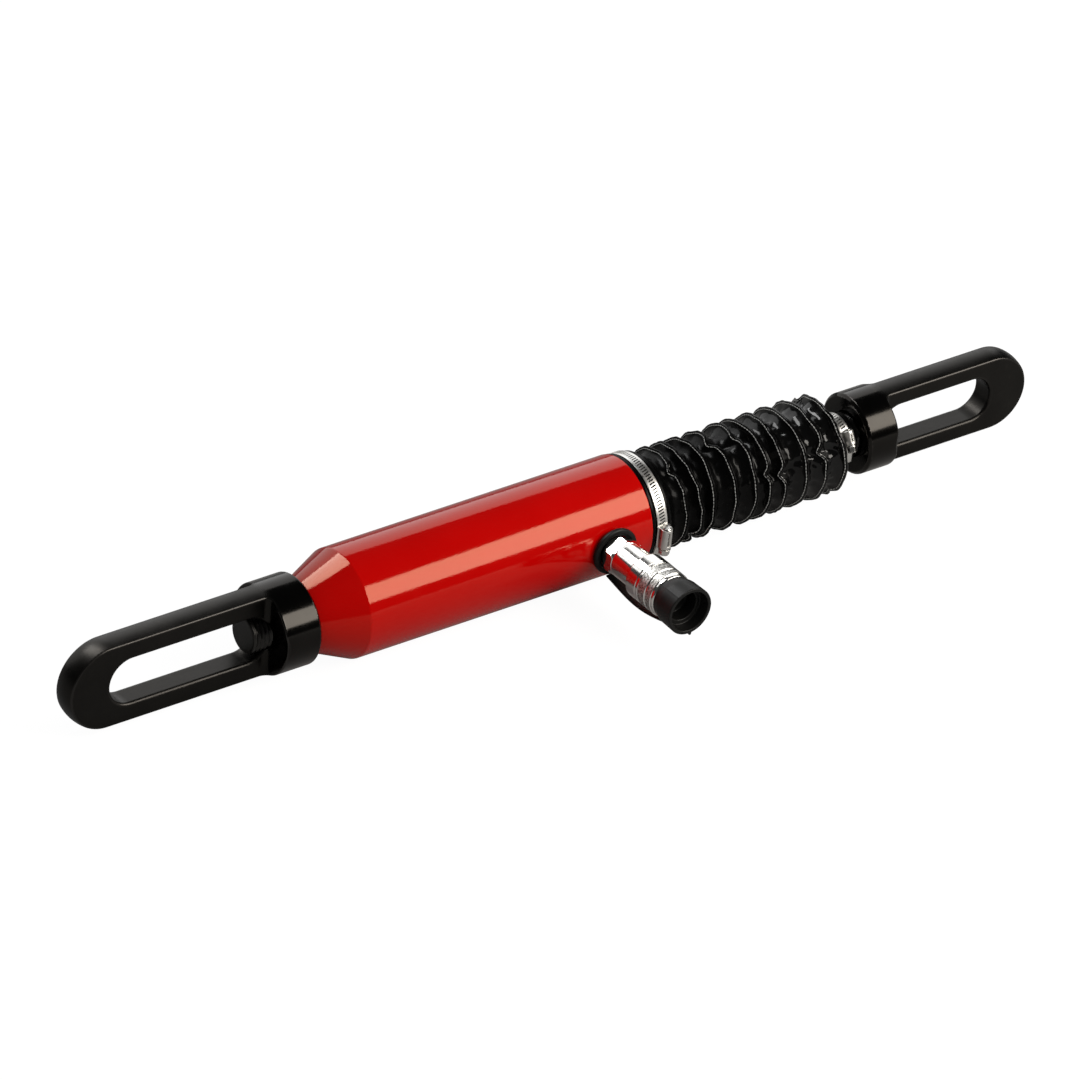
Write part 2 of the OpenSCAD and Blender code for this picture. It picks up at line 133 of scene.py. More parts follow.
def refined(points, spacing):
    """The profile with no stretch longer than spacing."""
    out = [points[0]]
    for a, b in zip(points, points[1:]):
        n = max(1, math.ceil(np.linalg.norm(np.subtract(b, a)) / spacing))
        out += [np.add(a, np.subtract(b, a) * k / n) for k in range(1, n + 1)]
    return out


def frame_x(s, r, phi):
    """Round the cylinder's axis. Angle 0 faces -Y and 90 degrees faces +Z."""
    return np.stack([s, -r * np.cos(phi), r * np.sin(phi)], -1)


def frame_coupler(s, r, phi):
    """Round the coupler's axis; stations are distances from the cylinder's axis."""
    return np.stack([X_PORT + r * np.cos(phi), -s, r * np.sin(phi)], -1)


def grid_faces(rows, segs, closed_rows=False):
    """Quads of a rows x segs grid that closes on itself round each row."""
    last = rows if closed_rows else rows - 1
    return [(i * segs + k, i * segs + (k + 1) % segs,
             (i + 1) % rows * segs + (k + 1) % segs, (i + 1) % rows * segs + k)
            for i in range(last) for k in range(segs)]


def outward(obj):
    """Faces turned outwards."""
    bm = bmesh.new()
    bm.from_mesh(obj.data)
    bmesh.ops.remove_doubles(bm, verts=bm.verts, dist=1e-7)
    bmesh.ops.recalc_face_normals(bm, faces=bm.faces)
    bm.to_mesh(obj.data)
    bm.free()
    return obj


def turned(name, profile, material, place=frame_x, segs=160, warp=None, closed=False):
    """A body of revolution. warp(s, r, phi) may change the station and the radius."""
    p = np.array(profile, float)
    phi = np.arange(segs) * TAU / segs
    s, f = np.meshgrid(p[:, 0], phi, indexing="ij")
    r = np.meshgrid(p[:, 1], phi, indexing="ij")[0]
    if warp:
        s, r = warp(s, r, f)
    verts = place(s, r, f).reshape(-1, 3)
    obj = new_object(name, verts, grid_faces(len(p), segs, closed), material)
    outward(obj)
    obj.data.set_sharp_from_angle(angle=math.radians(38))
    return obj


def crossing_points(values, axes):
    """For each cell of the grid: the mean place where the surface crosses its edges."""
    shape = tuple(n - 1 for n in values.shape)
    total = np.zeros(shape + (3,))
    count = np.zeros(shape)
    for axis in range(3):
        low = np.take(values, range(values.shape[axis] - 1), axis)
        high = np.take(values, range(1, values.shape[axis]), axis)
        change = (low < 0) != (high < 0)
        share = np.where(change, low / np.where(change, low - high, 1), 0)
        others = [a for a in range(3) if a != axis]
        for da in (0, 1):
            for db in (0, 1):
                cut = [slice(None)] * 3
                for other, d in zip(others, (da, db)):
                    cut[other] = slice(d, d + shape[other])
                here = change[tuple(cut)]
                count += here
                for c in range(3):
                    grid = axes[c][:-1]
                    step = axes[c][1] - axes[c][0]
                    if c == axis:
                        place = grid.reshape([-1 if k == c else 1 for k in range(3)]) \
                            + share[tuple(cut)] * step
                    else:
                        d = da if c == others[0] else db
                        place = grid.reshape([-1 if k == c else 1 for k in range(3)]) + d * step
                    total[..., c] += np.where(here, place, 0)
    return total, count


def carved(name, distance, low, high, step, material):
    """A closed mesh of the surface where distance(x, y, z) is 0, with true normals."""
    axes = [np.arange(a, b + step, step) for a, b in zip(low, high)]
    values = distance(*np.meshgrid(*axes, indexing="ij"))
    total, count = crossing_points(values, axes)
    active = count > 0
    index = np.full(active.shape, -1)
    index[active] = np.arange(active.sum())
    points = total[active] / count[active][:, None]
    h = step * 0.05

    def slope(p):
        g = [(distance(*(p + d).T) - distance(*(p - d).T)) / (2 * h) for d in np.eye(3) * h]
        return np.stack(g, -1)

    for _ in range(3):
        g = slope(points)
        move = distance(*points.T) / np.maximum((g * g).sum(-1), 0.05)
        points = points - np.clip(move, -step / 2, step / 2)[:, None] * g
    faces = []
    for axis in range(3):
        a, b = [k for k in range(3) if k != axis]
        n = values.shape
        inner = [slice(None)] * 3
        inner[a], inner[b] = slice(1, n[a] - 1), slice(1, n[b] - 1)
        inner[axis] = slice(0, n[axis] - 1)
        above = list(inner)
        above[axis] = slice(1, n[axis])
        first, second = values[tuple(inner)] < 0, values[tuple(above)] < 0
        where = np.argwhere(first != second)
        cell = where.copy()
        cell[:, a] += 1
        cell[:, b] += 1
        quad = []
        for da, db in ((-1, -1), (0, -1), (0, 0), (-1, 0)):
            c = cell.copy()
            c[:, a] += da
            c[:, b] += db
            quad.append(index[c[:, 0], c[:, 1], c[:, 2]])
        quad = np.stack(quad, -1)
        rising = first[tuple(where.T)]
        if axis == 1:
            rising = ~rising
        quad[~rising] = quad[~rising][:, ::-1]
        faces += quad.tolist()
    g = slope(points)
    normals = g / np.maximum(np.linalg.norm(g, axis=-1, keepdims=True), 1e-9)
    obj = new_object(name, points, faces, material, normals)
    wide = step * 0.8
    bend = sum(distance(*(points + d).T) + distance(*(points - d).T)
               for d in np.eye(3) * wide) - 6 * distance(*points.T)
    edge = obj.data.attributes.new("edge", "FLOAT", "POINT")
    edge.data.foreach_set("value", np.clip(bend / wide ** 2, -1, 1).astype(np.float32))
    return obj


# Ways to join distances: r is the radius of the rounding along the joint
def both(a, b, r):
    return np.minimum(np.maximum(a, b), -r) + np.hypot(np.maximum(a + r, 0), np.maximum(b + r, 0))


def either(a, b, r):
    return np.maximum(np.minimum(a, b), r) - np.hypot(np.maximum(r - a, 0), np.maximum(r - b, 0))


def bevelled(a, b, c):
    return np.maximum(np.maximum(a, b), (a + b + c) * math.sqrt(0.5))


# ---- Materials ----

class Paint:
    """A node material: its shader, and small helpers that add textures to it."""

    def __init__(self, name, **values):
        self.mat = bpy.data.materials.new(name)
        self.mat.use_nodes = True
        self.tree = self.mat.node_tree
        self.shader = self.tree.nodes["Principled BSDF"]
        for key, value in values.items():
            self.shader.inputs[key.replace("_", " ")].default_value = value
        self.place = self.node("ShaderNodeTexCoord").outputs["Object"]
        self.height = None

    def node(self, kind, **settings):
        node = self.tree.nodes.new(kind)
        for key, value in settings.items():
            if key in node.inputs:
                self.put(node.inputs[key], value)
            else:
                setattr(node, key, value)
        return node

    def put(self, socket, value):
        if isinstance(value, bpy.types.NodeSocket):
            self.tree.links.new(value, socket)
        else:
            socket.default_value = value

    def noise(self, scale, detail=3.0, rough=0.55, stretch=(1, 1, 1)):
        place = self.node("ShaderNodeMapping", Vector=self.place, Scale=stretch)
        return self.node("ShaderNodeTexNoise", Vector=place.outputs[0], Scale=scale,
                         Detail=detail, Roughness=rough).outputs["Fac"]

    def map(self, value, low, high, to_low, to_high):
        node = self.node("ShaderNodeMapRange", clamp=True)
        for i, v in enumerate((value, low, high, to_low, to_high)):
            self.put(node.inputs[i], v)
        return node.outputs[0]

    def math(self, operation, a, b=0.0):
        node = self.node("ShaderNodeMath", operation=operation)
        self.put(node.inputs[0], a)
        self.put(node.inputs[1], b)
        return node.outputs[0]

    def blend(self, share, a, b):
        node = self.node("ShaderNodeMix", data_type="RGBA")
        self.put(node.inputs["Factor"], share)
        self.put(node.inputs[6], a)
        self.put(node.inputs[7], b)
        return node.outputs[2]

    def set(self, name, value):
        self.put(self.shader.inputs[name], value)

    def bump(self, height, depth_mm):
        node = self.node("ShaderNodeBump", Strength=1.0, Distance=depth_mm * MM, Height=height)
        if self.height:
            self.put(node.inputs["Normal"], self.height)
        self.height = node.outputs[0]
        self.set("Normal", self.height)

    def edge(self):
        return self.node("ShaderNodeAttribute", attribute_name="edge").outputs["Fac"]


def red_paint():
    """Glossy enamel with a fine orange peel."""
    p = Paint("red_paint", Specular_Tint=(1, 0.62, 0.42, 1), Specular_IOR_Level=0.5)
    cloud = p.noise(22, 4)
    p.set("Base Color", p.blend(cloud, (0.4, 0.0, 0.0, 1), (0.46, 0.0008, 0.0008, 1)))
    p.set("Roughness", p.map(p.noise(60, 5), 0.3, 0.7, 0.06, 0.1))
    p.bump(p.noise(560, 2), 0.034)
    return p.mat


def blackened_steel():
    """Black oxide on steel: streaky where milled, smoother on the turned collars."""
    p = Paint("blackened_steel", Metallic=1.0)
    cloud = p.noise(30, 6, 0.6)
    fine = p.noise(260, 4, 0.6, (0.15, 1, 1))
    spots = p.map(p.noise(75, 6, 0.75), 0.6, 0.75, 0, 1)
    dark = p.blend(cloud, (0.017, 0.016, 0.015, 1), (0.034, 0.032, 0.029, 1))
    worn = p.blend(p.map(p.edge(), 0.15, 0.8, 0.0, 0.3), dark, (0.12, 0.115, 0.11, 1))
    p.set("Base Color", p.blend(p.math("MULTIPLY", spots, 0.3), worn, (0.07, 0.06, 0.05, 1)))
    milled = p.map(p.math("ADD", cloud, p.math("MULTIPLY", fine, 0.6)), 0.5, 1.1, 0.27, 0.42)
    turned_finish = p.map(cloud, 0.3, 0.7, 0.1, 0.17)
    collar_share = p.node("ShaderNodeAttribute", attribute_name="collar").outputs["Fac"]
    p.set("Roughness", p.math("ADD", p.math("MULTIPLY", milled, p.math("SUBTRACT", 1.0, collar_share)),
                              p.math("MULTIPLY", turned_finish, collar_share)))
    p.bump(fine, 0.012)
    p.bump(p.noise(55, 3), 0.03)
    return p.mat


def bright_metal(name, colour, low, high, grain=(1, 1, 1), depth=0.004):
    p = Paint(name, Metallic=1.0)
    plain = p.blend(p.noise(70, 5), tuple(c * 0.86 for c in colour) + (1,), tuple(colour) + (1,))
    brushed = p.noise(420, 4, 0.6, grain)
    rolled = p.node("ShaderNodeAttribute", attribute_name="knurled").outputs["Fac"]
    # Painted shade: on the knurled bands the metal colour is darkened in fine speckles that stand in for
    # the shade in the knurl's grooves
    knurl_groove_shade = p.math("MULTIPLY", rolled, p.map(p.noise(760, 1), 0.42, 0.58, 0.25, 0.95))
    p.set("Base Color", p.blend(knurl_groove_shade, plain, (0.2, 0.195, 0.18, 1)))
    smooth = p.map(brushed, 0.3, 0.7, low, high)
    p.set("Roughness", p.math("ADD", smooth, p.math("MULTIPLY", rolled, 0.3)))
    p.bump(brushed, depth)
    return p.mat


def rubber(name, colour, roughness):
    p = Paint(name, Specular_IOR_Level=0.24)
    cloud = p.noise(45, 5)
    p.set("Base Color", p.blend(cloud, tuple(c * 0.7 for c in colour) + (1,), tuple(colour) + (1,)))
    p.set("Roughness", p.map(cloud, 0.3, 0.7, roughness - 0.08, roughness + 0.08))
    p.bump(p.noise(900, 3), 0.02)
    return p.mat


def coated_cloth():
    """Glossy black cloth: a fine plain weave that shows through its coating, and creases."""
    p = Paint("bellows_cloth", Coat_Roughness=0.045, Specular_IOR_Level=0.05)
    split = p.node("ShaderNodeSeparateXYZ", Vector=p.place)
    turn = p.math("ARCTAN2", split.outputs[2], split.outputs[1])
    across = p.math("SINE", p.math("MULTIPLY", turn, 34 * TAU / 0.9))
    out = p.math("SQRT", p.math("ADD", p.math("POWER", split.outputs[1], 2.0),
                                p.math("POWER", split.outputs[2], 2.0)))
    along = p.math("SINE", p.math("MULTIPLY", p.math("ADD", out, split.outputs[0]), 5600.0))
    weave = p.math("MULTIPLY", across, along)
    # The rear folds are dustier and duller than the front ones
    p.set("Coat Weight", p.map(split.outputs[0], (X_NECK + 60) * MM, (X_ROD_FACE - 30) * MM, 0.07, 0.75))
    p.set("Base Color", p.blend(p.noise(120, 4), (0.0006, 0.0006, 0.0006, 1),
                                (0.0025, 0.0025, 0.0025, 1)))
    p.set("Roughness", p.map(p.noise(150, 5), 0.3, 0.7, 0.18, 0.34))
    p.bump(weave, 0.02)
    p.bump(p.noise(110, 3, 0.5), 0.03)
    return p.mat


def thread():
    p = Paint("stitching_thread", Roughness=0.7)
    p.set("Base Color", p.blend(p.noise(300, 3), (0.34, 0.34, 0.32, 1), (0.66, 0.66, 0.64, 1)))
    p.bump(p.noise(2500, 2), 0.05)
    return p.mat


MATERIALS = {
    "red_paint": red_paint(),
    "blackened_steel": blackened_steel(),
    "dark_fastener": bright_metal("dark_fastener", (0.06, 0.058, 0.055), 0.28, 0.45),
    "brass": bright_metal("brass", (0.72, 0.5, 0.22), 0.2, 0.35),
    "machined_steel": bright_metal("machined_steel", (0.5, 0.5, 0.5), 0.22, 0.4, (1, 0.1, 0.1)),
    "spring_steel": bright_metal("spring_steel", (0.34, 0.34, 0.35), 0.3, 0.45),
    "seal_rubber": rubber("seal_rubber", (0.025, 0.025, 0.025), 0.5),
    "guide_plastic": rubber("guide_plastic", (0.22, 0.1, 0.04), 0.4),
    "hard_chrome": bright_metal("hard_chrome", (0.82, 0.83, 0.85), 0.05, 0.1),
    "bronze": bright_metal("bronze", (0.55, 0.32, 0.13), 0.25, 0.4),
    "bellows_cloth": coated_cloth(),
    "stainless_band": bright_metal("stainless_band", (0.86, 0.85, 0.82), 0.26, 0.4),
    "stainless_screw": bright_metal("stainless_screw", (0.8, 0.79, 0.76), 0.15, 0.3),
    "copper": bright_metal("copper", (0.75, 0.38, 0.2), 0.25, 0.4),
    "plated_steel": bright_metal("plated_steel", (0.75, 0.75, 0.74), 0.15, 0.3),
    "coupler_chrome": bright_metal("coupler_chrome", (0.88, 0.87, 0.84), 0.06, 0.16),
    "knurled_chrome": bright_metal("knurled_chrome", (0.84, 0.83, 0.8), 0.07, 0.15),
    "cap_rubber": rubber("cap_rubber", (0.006, 0.006, 0.0055), 0.44),
}
THREAD = thread()
for part in frame["record"]["subparts"]:
    obj = frame["nodes"][part["node"]]
    obj.data.materials.clear()
    obj.data.materials.append(MATERIALS[part["material_slot"]])


def stands_for(obj, body, slot, *nodes):
    """The piece moves with a body and shows in place of CAD nodes; the slot argument is not used."""
    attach(obj, body)
    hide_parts(*nodes)
    return obj


# ---- Eyes ----
EYE_T = 20.0
EYE_BALL_X = -19.5


def eye(name, r, slot_r, slot_l, shoulder, end, hole_r, mirror_at=None):
    """Bar with a ball end, two flats, a slot and a bored collar; its pin seat is at x = 0."""
    def distance(x, y, z):
        if mirror_at is not None:
            x = mirror_at - x
        bar = np.sqrt(np.minimum(x - EYE_BALL_X, 0) ** 2 + y * y + z * z) - r
        flats = either(np.abs(y) - EYE_T / 2, shoulder - x, 5.0)
        body = both(bar, flats, 1.2)
        body = bevelled(body, x - end, 2.2)
        beyond = np.maximum(np.abs(x - slot_l / 2) - slot_l / 2, 0)
        slot = np.hypot(beyond, z) - slot_r
        body = both(body, -slot, 2.6)
        hole = np.maximum(np.hypot(y, z) - hole_r, slot_l - x)
        return both(body, -hole, 0.4)

    a, b = EYE_BALL_X - r - 3, end + 3
    if mirror_at is not None:
        a, b = mirror_at - b, mirror_at - a
    low, high = (a, -r - 3, -r - 3), (b, r + 3, r + 3)
    obj = carved(name, distance, low, high, 0.9, MATERIALS["blackened_steel"])
    station = np.empty(len(obj.data.vertices) * 3)
    obj.data.vertices.foreach_get("co", station)
    station = station[::3] / MM
    if mirror_at is not None:
        station = mirror_at - station
    share = obj.data.attributes.new("collar", "FLOAT", "POINT")
    share.data.foreach_set("value", np.clip((station - shoulder + 4) / 6, 0, 1).astype(np.float32))
    return obj


X_ROD_PIN = frame["record"]["mounts"][1]["pos_m"][0] / MM
base = eye("base_eye_body", 35.5, 19.0, 101.5, 119.5, X_NOSE, 15.05)
stands_for(base, "cylinder", "blackened_steel", "base_eye")
rod_end = eye("rod_eye_body", 31.5, 17.5, 65.5, 82.0, X_ROD_PIN - X_ROD_FACE, 12.05, X_ROD_PIN)
stands_for(rod_end, "rod", "blackened_steel", "rod_eye")


def threaded(pitch, depth, start, stop):
    """A warp that cuts a helical thread between two stations."""
    def warp(s, r, phi):
        wave = np.abs(((s / pitch - phi / TAU) % 1) * 2 - 1)
        fade = np.clip((s - start) / pitch, 0, 1) * np.clip((stop - s) / pitch, 0, 1)
        return s, r - depth * fade * np.clip(1.25 * wave - 0.12, 0, 1) * (r > 5)
    return warp


stud_low, stud_high = corner("base_stud")
stud_profile = refined(rounded([(stud_low[0], 0), (stud_low[0], 14.9, 2.4), (stud_high[0], 14.9),
                                (stud_high[0], 0)]), 0.45)
stud = turned("base_stud_thread", stud_profile, MATERIALS["dark_fastener"], segs=96,
              warp=threaded(3.5, 1.7, stud_low[0] + 1, X_NOSE - 8))
stands_for(stud, "cylinder", "dark_fastener", "base_stud")

# ---- Barrel ----
X_CONE = X_NOSE + 38
X_BORE = corner("spring_seat")[0][0]
barrel_profile = rounded([
    (X_NOSE, 0), (X_NOSE, 26, 1.2), (X_CONE, BARREL_R, 0.9), (X_HEAD, BARREL_R, 0.8),
    (X_HEAD, 31), (X_HEAD - 22, 31), (X_HEAD - 22, 27.5), (X_BORE, 27.5), (X_BORE, 0)])
barrel = turned("barrel_body", barrel_profile, MATERIALS["red_paint"], segs=256)
stands_for(barrel, "cylinder", "red_paint", "barrel")

# ---- Coupler; stations are distances from the cylinder's axis ----
D_RING = -corner("dust_cap_ring")[1][1]
D_HEX = D_RING + 5.6
D_TUBE = D_HEX + 10.8
D_COLLAR = -corner("coupler_collar")[1][1]
D_COLLAR_END = -corner("coupler_collar")[0][1]
D_MOUTH = -corner("coupler_body")[0][1]
D_SEAT = D_MOUTH - 28.5
D_CHAMBER = D_SEAT - 27
CAP_REACH = -corner("dust_cap")[0][1]
HEX_FLAT = 13.5
KNURLS = [(D_COLLAR + 16.1, D_COLLAR + 23.5), (D_COLLAR + 25.6, D_COLLAR + 31)]
KNURL_PITCH = TAU / 96
TAB_TURN = math.radians(274)
STRAP_TURN = math.radians(268)
STRAP_BOW = 6.2
STRAP_T = 1.6


def hexagon(s, r, phi):
    """Flats on the widest stretch of the coupler's body."""
    flat = HEX_FLAT / np.cos((phi + math.pi / 6) % (math.pi / 3) - math.pi / 6)
    return s, np.where((s > D_HEX - 0.01) & (s < D_TUBE - 0.3), np.minimum(r, flat), r)


body_profile = refined(rounded([
    (D_RING - 0.7, 8.45), (D_RING - 0.7, 12.6), (D_HEX, 12.6), (D_HEX, 14.6, 0.6), (D_HEX + 1.2, 15.6),
    (D_TUBE - 1.6, 15.6), (D_TUBE - 0.4, 14.4, 0.4), (D_TUBE, 13.9, 0.2), (D_TUBE + 0.6, 13.9, 0.2),
    (D_TUBE + 1, 14.6, 0.3), (D_COLLAR - 0.9, 14.6, 0.5), (D_COLLAR, 13), (D_MOUTH, 13, 0.6),
    (D_MOUTH, 10.6, 0.4), (D_MOUTH - 1.2, 9.5, 0.3), (D_SEAT + 3, 9.5), (D_SEAT + 3, 5),
    (D_SEAT, 5), (D_SEAT - 2, 7), (D_CHAMBER, 7), (D_CHAMBER, 4.5), (D_CHAMBER - 3.5, 4.5),
    (D_CHAMBER - 3.5, 8.45)]), 2.0)
coupler = turned("coupler_body_turned", body_profile, MATERIALS["coupler_chrome"], frame_coupler,
                 segs=192, warp=hexagon, closed=True)
stands_for(coupler, "cylinder", "coupler_chrome", "coupler_body")


def knurl(s, r, phi):
    """Diamond knurling on the collar's two bands."""
    depth = 0
    for low, high in KNURLS:
        fade = np.clip((s - low - 0.3) / 0.4, 0, 1) * np.clip((high - 0.3 - s) / 0.4, 0, 1)
        lead = s / 18.2
        one = np.abs((((phi + lead) / KNURL_PITCH) % 1) * 2 - 1)
        two = np.abs((((phi - lead) / KNURL_PITCH) % 1) * 2 - 1)
        depth = depth + fade * 0.2 * np.maximum(one, two) ** 1.5
    return s, np.where(r > 17.5, r - depth, r)


c = D_COLLAR
collar_profile = refined(rounded([
    (c, 13.1), (c, 17.0, 0.2), (c + 1.2, 18.2, 0.5), (c + 11.8, 18.2, 0.2), (c + 12.1, 17.8, 0.1),
    (c + 12.4, 17.8, 0.1), (c + 12.7, 18.2, 0.2), (c + 15.2, 18.2, 0.2), (c + 15.5, 17.5, 0.1),
    (c + 16, 17.5, 0.1), (c + 16.2, 18.2, 0.1), (c + 23.5, 18.2, 0.15), (c + 24, 17.5, 0.3),
    (c + 25.2, 17.5, 0.3), (c + 25.6, 18.2, 0.15), (c + 31, 18.2, 0.15), (c + 31.4, 17.6, 0.15),
    (D_COLLAR_END - 0.9, 17.6, 0.7), (D_COLLAR_END, 17.0, 0.4), (D_COLLAR_END, 14, 0.3),
    (D_COLLAR_END - 2, 13.1)], 3), 0.28)
collar = turned("coupler_collar_knurled", collar_profile, MATERIALS["knurled_chrome"],
                frame_coupler, segs=576, warp=knurl, closed=True)
rolled = collar.data.attributes.new("knurled", "FLOAT", "POINT")
for i, vertex in enumerate(collar.data.vertices):
    out = math.hypot(vertex.co.x / MM - X_PORT, vertex.co.z / MM)
    on_band = any(low < -vertex.co.y / MM < high for low, high in KNURLS)
    rolled.data[i].value = float(on_band and out > 17.7)
stands_for(collar, "collar", "knurled_chrome", "coupler_collar")

# ---- Dust cap, its ring and its strap ----
ring_profile = rounded([
    (D_RING, 13.2), (D_RING, 18.3, 0.8), (D_RING + 1.4, 18.9, 0.8), (D_RING + 3.2, 18.8, 0.9),
    (D_RING + 4, 17.6, 0.8), (D_RING + 4, 15.2, 0.7), (D_RING + 2.6, 14.2, 0.6), (D_RING + 2.2, 13.2)])
ring = turned("dust_cap_ring_moulded", ring_profile, MATERIALS["cap_rubber"], frame_coupler,
              segs=128, closed=True)
stands_for(ring, "cylinder", "cap_rubber", "dust_cap_ring")

cap_start = D_COLLAR_END + 0.2
cap_profile = refined(rounded([
    (cap_start - 15, 0), (cap_start - 15, 8.2, 1.5), (cap_start, 8.2), (cap_start, 17.2, 0.5),
    (cap_start + 2.5, 17.5, 1.5), (cap_start + 7, 18.7, 2.5), (CAP_REACH, 19.2, 0.9),
    (CAP_REACH, 16.3, 0.8), (CAP_REACH - 9.2, 15.5, 0.8), (CAP_REACH - 9.2, 11.8, 0.9),
    (cap_start + 2.2, 11.6, 1.0), (cap_start + 2.2, 0)]), 1.2)


def moulded(s, r, phi):
    """A faint mould seam along the cap's outside, a slightly uneven rim and its pull tab."""
    seam = np.exp(-((((phi - 2.2) + math.pi) % TAU - math.pi) / 0.018) ** 2)
    uneven = 0.12 * np.sin(2 * phi + 0.6) + 0.07 * np.sin(3 * phi)
    near_rim = np.clip((s - cap_start - 4) / 18, 0, 1)
    off = (phi - TAB_TURN + math.pi) % TAU - math.pi
    tab = 1.9 * np.clip(2.2 - np.abs(off) / 0.03, 0, 1) * np.clip((s - CAP_REACH + 2.6) / 0.6, 0, 1)
    outside = r > 16.9
    sunk = (r > 11) * near_rim * abs(0.1 - uneven)
    return s, r + outside * (0.16 * seam * (s > cap_start + 0.5) + (r > 18) * tab) - sunk


cap = turned("dust_cap_moulded", cap_profile, MATERIALS["cap_rubber"], frame_coupler,
             segs=240, warp=moulded)
stands_for(cap, "cap", "cap_rubber", "dust_cap")


def ribbon(name, centre, across, normal, half_width, half_thickness, material, rounding=8):
    """A strip with round edges swept along a line of points."""
    verts = []
    for p, a, n, w, t in zip(centre, across, normal, half_width, half_thickness):
        for k in range(4 * rounding):
            angle = TAU * k / (4 * rounding)
            u = abs(math.cos(angle)) ** 0.35 * math.copysign(1, math.cos(angle))
            v = abs(math.sin(angle)) ** 0.7 * math.copysign(1, math.sin(angle))
            verts.append(p + a * u * w + n * v * t)
    segs = 4 * rounding
    faces = grid_faces(len(centre), segs)
    faces += [tuple(range(segs)), tuple((len(centre) - 1) * segs + k for k in reversed(range(segs)))]
    obj = new_object(name, verts, faces, material)
    return outward(obj)


def strap():
    n = 40
    u = np.array([math.cos(STRAP_TURN), 0, math.sin(STRAP_TURN)])
    side = np.array([-math.sin(STRAP_TURN), 0, math.cos(STRAP_TURN)])
    forward = np.array([0, -1.0, 0])
    start, stop, lands = D_RING + 1.8, CAP_REACH - 9, D_COLLAR_END + 2
    centre, normal, across, width = [], [], [], []
    for i in range(n + 1):
        s = i / n
        station = start + (stop - start) * s
        bow = min(1, (station - start) / (lands - start))
        radial = 19.8 - 0.3 * s + STRAP_BOW * math.sin(math.pi * bow)
        slope = STRAP_BOW * math.pi * math.cos(math.pi * bow) / (lands - start) * (bow < 1)
        centre.append(np.array([X_PORT, 0, 0]) + u * radial + forward * station)
        normal.append((u - forward * slope) / math.hypot(1, slope))
        across.append(side)
        width.append(6.0 - 0.8 * (1 - abs(2 * s - 1) ** 4))
    return ribbon("dust_cap_strap_moulded", centre, across, normal, width, [STRAP_T / 2] * (n + 1),
                  MATERIALS["cap_rubber"])


strap_piece = strap()
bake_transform(strap_piece)
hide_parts("dust_cap_strap")


# ---- Bellows ----
FOLDS = 10
CLOTH_T = 0.9
CREST_R = 36.8
HEM = 2.4
FIRST_CREST, LAST_CREST = X_NECK + 16.5, X_ROD_FACE - 27
# How far each seam lies from even spacing, and how creased the cloth before each one is
CREST_SHIFT = [0, -3, -6, -3, -1, -4, -5, -3, -1, 0]
CREASES = [0.3, 0.3, 0.3, 0.4, 0.6, 0.5, 0.6, 0.8, 1.0, 1.2, 1.2]
# Where a seam is pushed in: fold, angle in degrees, depth, half width in degrees
DENTS = [(0, 62, 4.5, 7), (3, 84, 5.0, 8), (4, 80, 3.0, 8), (5, 21, 5.0, 7), (6, 14, 5.0, 8),
         (8, 26, 5.5, 8), (2, 190, 5.0, 8), (7, 240, 5.0, 9), (1, -40, 4.0, 8), (4, -75, 4.5, 8),
         (9, 130, 3.5, 7), (9, -50, 3.0, 7)]
rng = np.random.default_rng(7)


def waves(count, low, high):
    """A smooth random function of the angle round the bellows, about -1 to 1."""
    orders = rng.integers(low, high + 1, count)
    shifts = rng.uniform(0, TAU, count)
    sizes = rng.uniform(0.4, 1, count)
    sizes = sizes / sizes.sum()
    return lambda phi: sum(a * np.sin(m * phi + p) for a, m, p in zip(sizes, orders, shifts))


crest_sway = [waves(3, 1, 2) for _ in range(FOLDS)]
crest_ripple = [waves(5, 4, 13) for _ in range(FOLDS)]
valley_ripple = [waves(6, 3, 15) for _ in range(FOLDS + 1)]
crease_ripple = [waves(8, 7, 30) for _ in range(FOLDS + 1)]


def crest(i, phi):
    """Station and radius of fold i's seam round the bellows."""
    even = FIRST_CREST + (LAST_CREST - FIRST_CREST) * i / (FOLDS - 1)
    station = even + CREST_SHIFT[i] + 2.0 * crest_sway[i](phi) + 0.8 * crest_ripple[i](phi)
    radius = CREST_R - 0.5 + 0.5 * crest_ripple[i](phi + 1)
    dent = np.zeros_like(phi)
    for fold, angle, depth, width in DENTS:
        if fold == i:
            off = ((np.degrees(phi) - angle + 180) % 360 - 180) / width
            well = np.exp(-off * off)
            dent = dent + depth * well
            station = station - 0.55 * depth * well * (1 + 0.9 * off)
    return station, radius - 0.8 * dent


def hem_ruffle(i, phi):
    return 0.7 * crest_ripple[i](2 * phi + 0.4)


